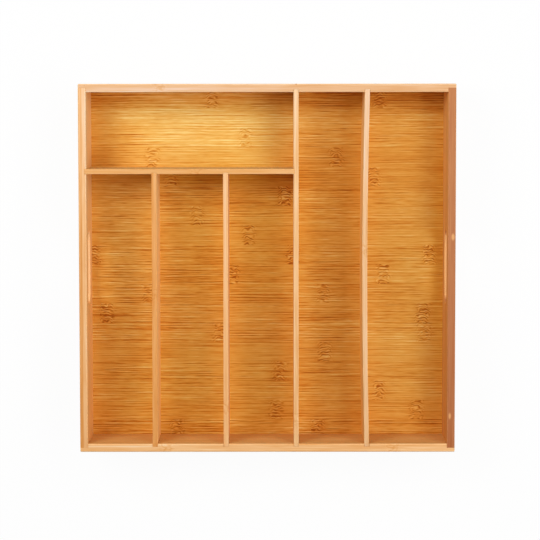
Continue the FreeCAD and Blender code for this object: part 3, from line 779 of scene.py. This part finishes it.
# %% Rails and walls
# Painted sheen: the walls get paler towards the back faster than other boards.
WALL_PAINTED_SHEEN_PER_METRE = 0.6
RED_PALE_END = (1.65, 2.3, 2.3)
dress("back_rail", bamboo(
    "pale_bamboo_rail", "along_x", (234, 185, 138), (238, 187, 126), 11.0, knots_at=(-108,),
    spots=[dent, dark_end], mates=walls + long_ends, Edges=1.0,
))
dress("front_rail", bamboo(
    "honey_bamboo_rail", "along_x", (252, 200, 143), (228, 180, 112), 12.0, knots_at=(-102, 127),
    mates=walls + long_ends + short_ends, Edges=0.4,
))
dress("left_wall", bamboo(
    "light_bamboo_wall", "along_y", (243, 189, 132), (240, 186, 118), 13.0,
    mates=[tall_box("cross_divider"), outer_layer], paler=WALL_PAINTED_SHEEN_PER_METRE, Edges=0.4,
))
dress("right_wall", bamboo(
    "dark_bamboo_wall", "along_y", (183, 115, 73), (215, 154, 86), 14.0, spots=[*pale_knots, pale_sill],
    mates=[upper_strip], paler=WALL_PAINTED_SHEEN_PER_METRE, pale_end=RED_PALE_END, Edges=1.0,
))

# %% [markdown]
# ## The dividers
# All five dividers are thin strips of the same pale bamboo, but no two are the same colour: the cross
# divider and the first short one are the most orange. All of them get a painted sheen towards the back,
# and the long ones the most, so they grow paler towards the back. Each has one knuckle.

# %% Dividers
DIVIDER_EDGES = 0.8
rails = [tall_box("back_rail"), tall_box("front_rail")]
# The last column is painted sheen: how much paler each divider gets per metre towards the back.
for node, grain, top, faces, seed, knot, paler in (
    ("cross_divider", "along_x", (233, 170, 102), (224, 182, 112), 15.0, -71, 0.35),
    ("short_divider_left", "along_y", (231, 161, 90), (249, 201, 130), 16.0, -26, 0.35),
    ("short_divider_right", "along_y", (242, 184, 124), (242, 183, 122), 17.0, -142, 0.25),
    ("long_divider_left", "along_y", (243, 193, 137), (235, 180, 115), 18.0, -152, 0.58),
    ("long_divider_right", "along_y", (237, 187, 135), (233, 180, 104), 19.0, 19, 0.55),
):
    dress(node, bamboo(
        node + "_bamboo", grain, top, faces, seed, knots_at=(knot,), mates=rails, paler=paler,
        Edges=DIVIDER_EDGES,
    ))

# %% [markdown]
# ## The brads
# Small steel brads hold the corners and the dividers' ends. Only their heads show, on the outside. Drawn
# wire is never quite clean, so one noise makes its colour and its gloss wander a little: where it is
# darker, it is duller.

# %% Brad steel
STAIN_SIZE = 1.2 * MM
STAIN_DETAIL = 3.0
STEEL_DARK = (112, 108, 104)
STEEL_PALE = (190, 188, 184)
STAIN_GLOSS = (1.2, -0.2)
STAIN_RELIEF = 0.05 * MM
STAIN_STRENGTH = 0.4
brad_steel = bpy.data.materials.new("brad_steel_wire")
brad_steel.use_nodes = True
tree = brad_steel.node_tree
shader = tree.nodes["Principled BSDF"].inputs
where = put(tree, "TexCoord").outputs["Object"]
sockets = {"Vector": where, "Scale": 1 / STAIN_SIZE, "Detail": STAIN_DETAIL}
stain = put(tree, "TexNoise", sockets).outputs[0]
steel = put(tree, "ValToRGB", {0: stain})
for stop, colour in zip(steel.color_ramp.elements, (STEEL_DARK, STEEL_PALE)):
    stop.color = (*linear(*colour).tolist(), 1.0)
bump = put(tree, "Bump", {"Height": stain, "Distance": STAIN_RELIEF, "Strength": STAIN_STRENGTH})
tree.links.new(steel.outputs[0], shader["Base Color"])
tree.links.new(soft_step(tree, stain, *STAIN_GLOSS), shader["Roughness"])
tree.links.new(bump.outputs[0], shader["Normal"])
shader["Metallic"].default_value = 1.0
for node in ("corner_brads", "divider_brads"):
    dress(node, brad_steel)

# %% [markdown]
# ## The white ground
# The tray lies on plain white paper. A white floor that is only lit never comes out quite white, so to the
# camera and to reflections it also glows, which leaves just a breath of the tray's soft shadow on it.
# Light that bounces around sees plain paper.

# %% Ground
GROUND_HALF = 4.0
GLOW_SHARE = 0.95
PAPER_GREY = 0.9
PAPER_ROUGHNESS = 0.9


def seen_directly(tree):
    """One for what the camera, a mirror or glass sees, nought for light that only bounces around."""
    path = put(tree, "LightPath").outputs
    glossy = calc(tree, "MAXIMUM", path["Is Camera Ray"], path["Is Glossy Ray"])
    return calc(tree, "MAXIMUM", glossy, path["Is Transmission Ray"])


corners = np.array([(-1, -1, 0), (1, -1, 0), (1, 1, 0), (-1, 1, 0)]) * GROUND_HALF
paper_mesh = bpy.data.meshes.new("white_ground")
paper_mesh.from_pydata(corners.tolist(), [], [(0, 1, 2, 3)])
ground = bpy.data.objects.new("white_ground", paper_mesh)
bpy.context.scene.collection.objects.link(ground)
paper = bpy.data.materials.new("white_paper")
paper.use_nodes = True
tree = paper.node_tree
shader = tree.nodes["Principled BSDF"]
shader.inputs["Base Color"].default_value = (PAPER_GREY, PAPER_GREY, PAPER_GREY, 1)
shader.inputs["Roughness"].default_value = PAPER_ROUGHNESS
shader.inputs["Specular IOR Level"].default_value = 0.0
glow = put(tree, "Emission", {"Color": (1, 1, 1, 1), "Strength": 1.0}).outputs[0]
share = calc(tree, "MULTIPLY", seen_directly(tree), GLOW_SHARE)
surface = put(tree, "MixShader", {0: share, 1: shader.outputs[0], 2: glow}).outputs[0]
tree.links.new(surface, tree.nodes["Material Output"].inputs["Surface"])
paper_mesh.materials.append(paper)
print("ground", 2 * GROUND_HALF, "m square")

# %% [markdown]
# ## Soft light from both sides
# In the narrow compartments the floor is palest next to the dividers, and in the wide one it is palest in
# the middle. That is what two soft lamps do, one on either side, high up and a little behind: the middle
# of a wide compartment sees both, a narrow one sees one lamp at each edge. A pale sky fills the rest. A
# lamp is turned to face the tray: first tipped by its angle from straight above, then turned towards its
# own side.

# %% Lamps and sky
SKY_FILL = 0.16
LAMP_WIDTH = 0.7
SOFTBOXES = {
    "softbox_left": ((-0.85, 0.5, 1.15), 0.8, 12.2),
    "softbox_right": ((0.8, 0.2, 1.15), 1.5, 13.2),
}
scene = bpy.context.scene
sky = bpy.data.worlds.new("studio_sky")
scene.world = sky
sky.use_nodes = True
tree = sky.node_tree
background = tree.nodes["Background"].inputs
background["Color"].default_value = (1, 1, 1, 1)
strength = calc(tree, "MULTIPLY_ADD", seen_directly(tree), 1 - SKY_FILL, SKY_FILL)
tree.links.new(strength, background["Strength"])
for name, ((x, y, z), length, power) in SOFTBOXES.items():
    lamp = bpy.data.lights.new(name, "AREA")
    lamp.shape = "RECTANGLE"
    lamp.size = length
    lamp.size_y = LAMP_WIDTH
    lamp.energy = power
    softbox = bpy.data.objects.new(name, lamp)
    softbox.location = (x, y, z)
    softbox.rotation_euler = (math.atan2(math.hypot(x, y), z), 0, math.atan2(x, -y))
    scene.collection.objects.link(softbox)
    print(name, round(math.dist((x, y, z), (0, 0, 0)), 2), "m away")

# %% [markdown]
# ## The camera
# The picture is taken from straight above the back rail with a long lens, so the tray looks almost square
# and only the front rail shows its inner face. The lens is shifted, and hardly tilted: that keeps the
# sides of the tray nearly parallel.

# %% Camera
IMAGE_SIDE = 540
LENS_CENTRE_ROW = 200
SENSOR_WIDTH = 36
LENS_LENGTH = 119.57
CAMERA_PLACE = (7.2, 178.8, RIM + 1801.6)
CAMERA_TURN = (-3.465, 0.134, -0.059)
camera = bpy.data.cameras.new("camera")
camera.sensor_width = SENSOR_WIDTH
camera.lens = LENS_LENGTH
camera.shift_y = (LENS_CENTRE_ROW - IMAGE_SIDE / 2) / IMAGE_SIDE
eye = bpy.data.objects.new("camera", camera)
eye.location = mm(*CAMERA_PLACE)
eye.rotation_euler = [math.radians(turn) for turn in CAMERA_TURN]
scene.collection.objects.link(eye)
scene.camera = eye
scene.view_settings.view_transform = "Standard"
print("camera at", [round(c / MM) for c in eye.location], "mm")
